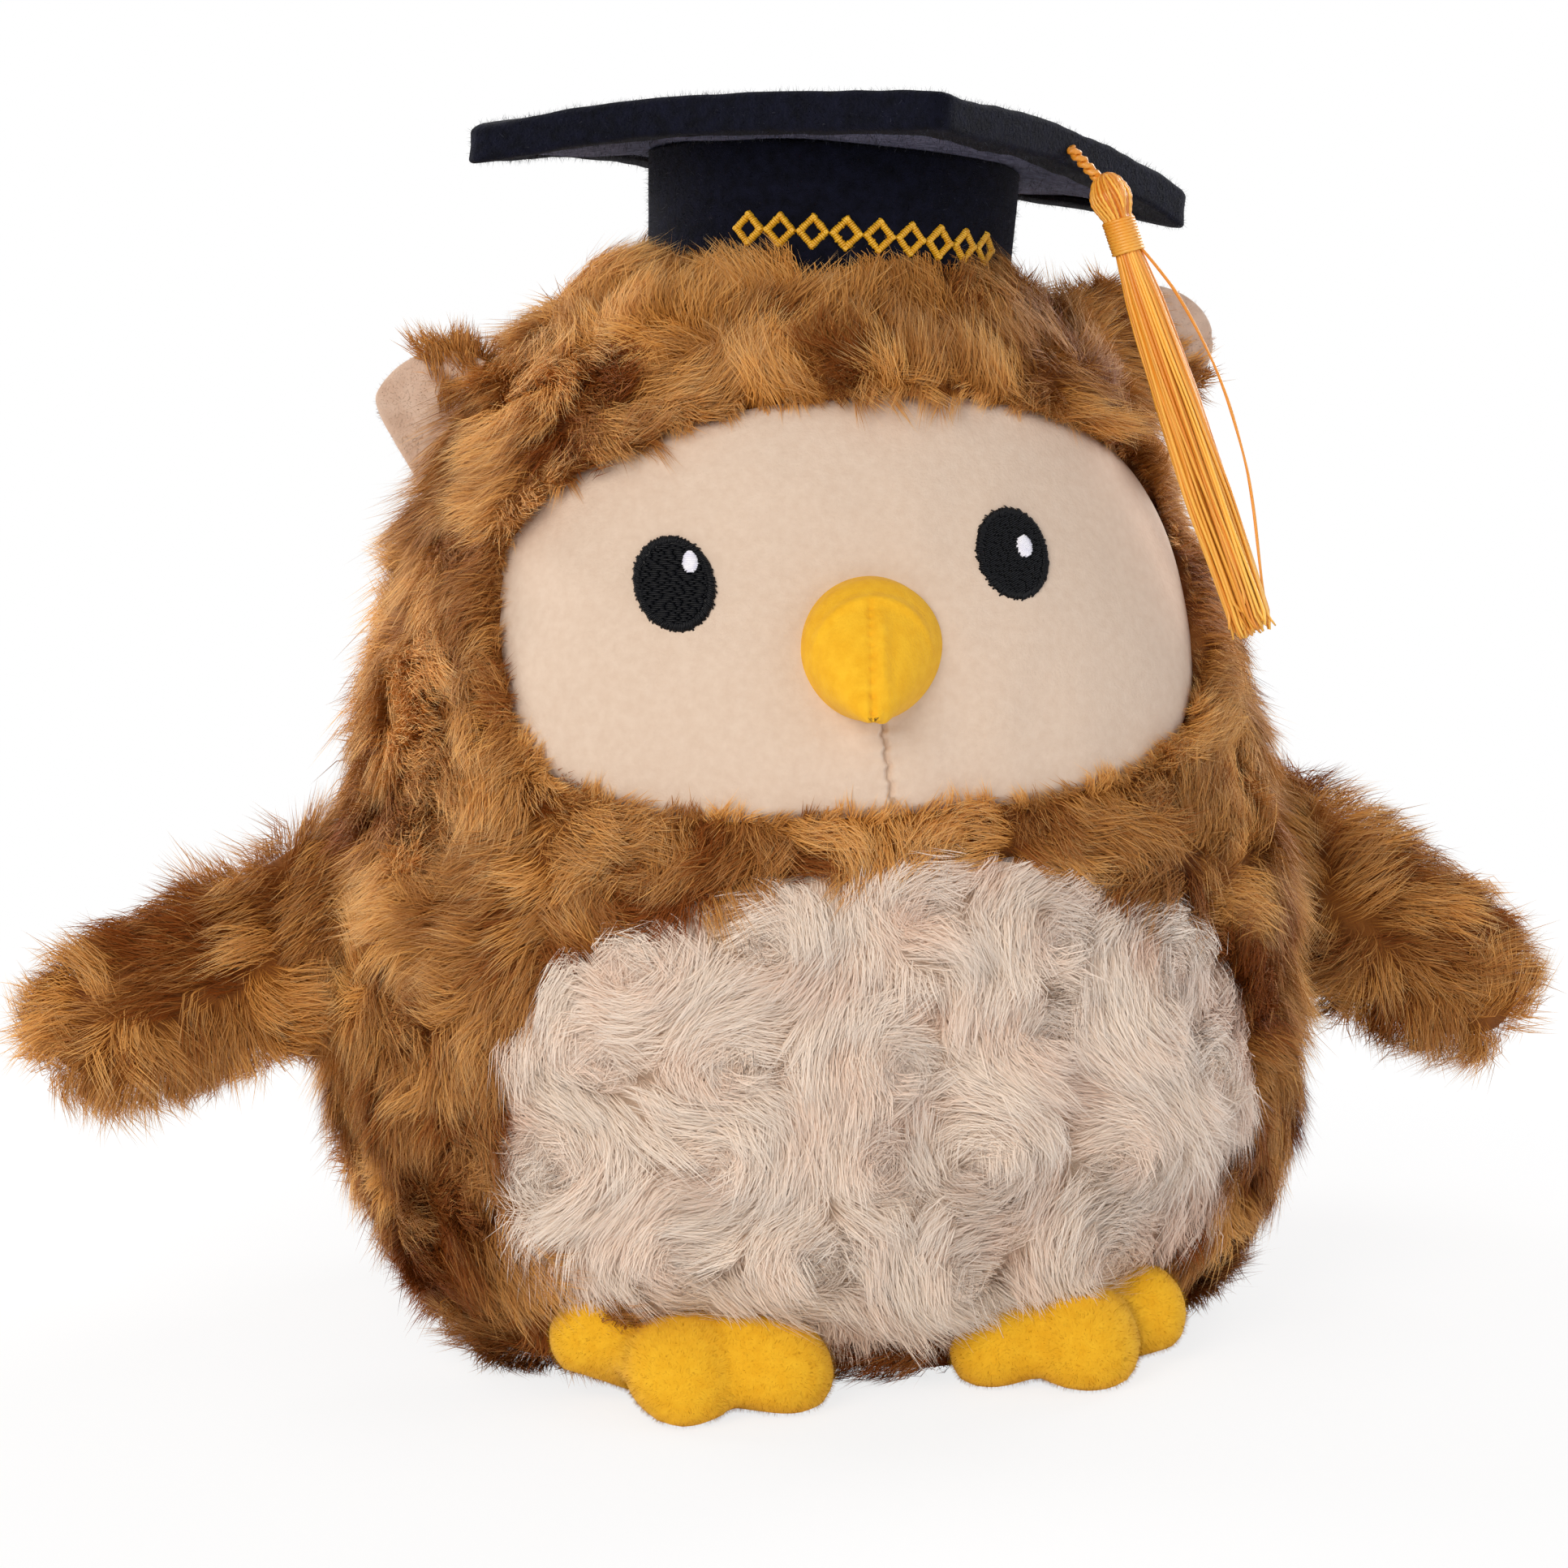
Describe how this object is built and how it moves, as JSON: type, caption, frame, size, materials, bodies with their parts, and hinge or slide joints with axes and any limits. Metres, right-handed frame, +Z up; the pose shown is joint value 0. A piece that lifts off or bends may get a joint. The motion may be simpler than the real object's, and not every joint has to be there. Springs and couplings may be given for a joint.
{
  "type": "plush owl with graduation cap",
  "caption": "Seated stuffed owl in long pile fabric, with flexing wings and ears and a square felt cap whose tassel swings.",
  "frame": {"origin": "on the floor under the middle of the body, on the flat base panel", "axes": "+Z up; the owl looks along -Y; +X is the owl's own left side, with the tassel"},
  "size_m": [0.2725, 0.157, 0.2213],
  "materials": {
    "base_cloth": "matte",
    "face_nap": "matte",
    "cream_fur": "matte",
    "brown_fur": "matte",
    "fibre_fill": "matte",
    "pellet_cloth": "matte",
    "black_thread": "satin",
    "white_thread": "satin",
    "yellow_plush": "matte",
    "ear_lining": "matte",
    "black_felt": "matte",
    "board_card": "matte",
    "gold_thread": "satin",
    "tassel_thread": "satin"
  },
  "bodies": {
    "owl": {"base_panel": "base_cloth", "face_panel": "face_nap", "belly_panel": "cream_fur", "hood_panel": "brown_fur", "flank_panel_left": "brown_fur", "flank_panel_right": "brown_fur", "back_panel_left": "brown_fur", "back_panel_right": "brown_fur", "body_stuffing": "fibre_fill", "pellet_bag": "pellet_cloth", "eye_left": "black_thread", "eye_glint_left": "white_thread", "eye_right": "black_thread", "eye_glint_right": "white_thread", "beak_panel_left": "yellow_plush", "beak_panel_right": "yellow_plush", "beak_stuffing": "fibre_fill", "foot_upper_left": "yellow_plush", "foot_sole_left": "yellow_plush", "foot_stuffing_left": "fibre_fill", "foot_upper_right": "yellow_plush", "foot_sole_right": "yellow_plush", "foot_stuffing_right": "fibre_fill", "cap_board_top_felt": "black_felt", "cap_board_insert": "board_card", "cap_board_under_felt": "black_felt", "cap_crown_band": "black_felt", "cap_crown_stuffing": "fibre_fill", "cap_embroidery": "gold_thread"},
    "wing_left": {"wing_front_left": "brown_fur", "wing_back_left": "brown_fur", "wing_stuffing_left": "fibre_fill"},
    "wing_right": {"wing_front_right": "brown_fur", "wing_back_right": "brown_fur", "wing_stuffing_right": "fibre_fill"},
    "ear_left": {"ear_lining_left": "ear_lining", "ear_back_left": "brown_fur"},
    "ear_right": {"ear_lining_right": "ear_lining", "ear_back_right": "brown_fur"},
    "tassel_hanger": {"tassel_cord": "tassel_thread"},
    "tassel": {"tassel_head": "tassel_thread", "tassel_wrap": "tassel_thread", "tassel_skirt": "tassel_thread"}
  },
  "joints": [
    {"name": "wing_left_swing", "type": "hinge", "parent": "owl", "child": "wing_left", "pos_m": [0.09024, 0.004, 0.07191], "axis": [0.0942, -0.342, -0.935], "range_deg": [-45, 45], "stiffness_Nm_per_rad": 0.01},
    {"name": "wing_right_swing", "type": "hinge", "parent": "owl", "child": "wing_right", "pos_m": [-0.09025, 0.004, 0.07191], "axis": [0.0944, 0.342, 0.9349], "range_deg": [-45, 45], "stiffness_Nm_per_rad": 0.01},
    {"name": "ear_left_flex", "type": "hinge", "parent": "owl", "child": "ear_left", "pos_m": [0.05756, 0.004, 0.16746], "axis": [0.5718, 0, -0.8204], "range_deg": [-5, 30], "stiffness_Nm_per_rad": 0.01},
    {"name": "ear_right_flex", "type": "hinge", "parent": "owl", "child": "ear_right", "pos_m": [-0.06035, 0.004, 0.16241], "axis": [0.5097, 0, 0.8604], "range_deg": [-5, 30], "stiffness_Nm_per_rad": 0.01},
    {"name": "tassel_swing_out", "type": "hinge", "parent": "owl", "child": "tassel_hanger", "pos_m": [0.0469, -0.02558, 0.20697], "axis": [0, -1, 0], "range_deg": [0, 50]},
    {"name": "tassel_swing_front", "type": "hinge", "parent": "tassel_hanger", "child": "tassel", "pos_m": [0.05198, -0.02683, 0.20105], "axis": [-1, 0, 0], "range_deg": [0, 45]}
  ]
}
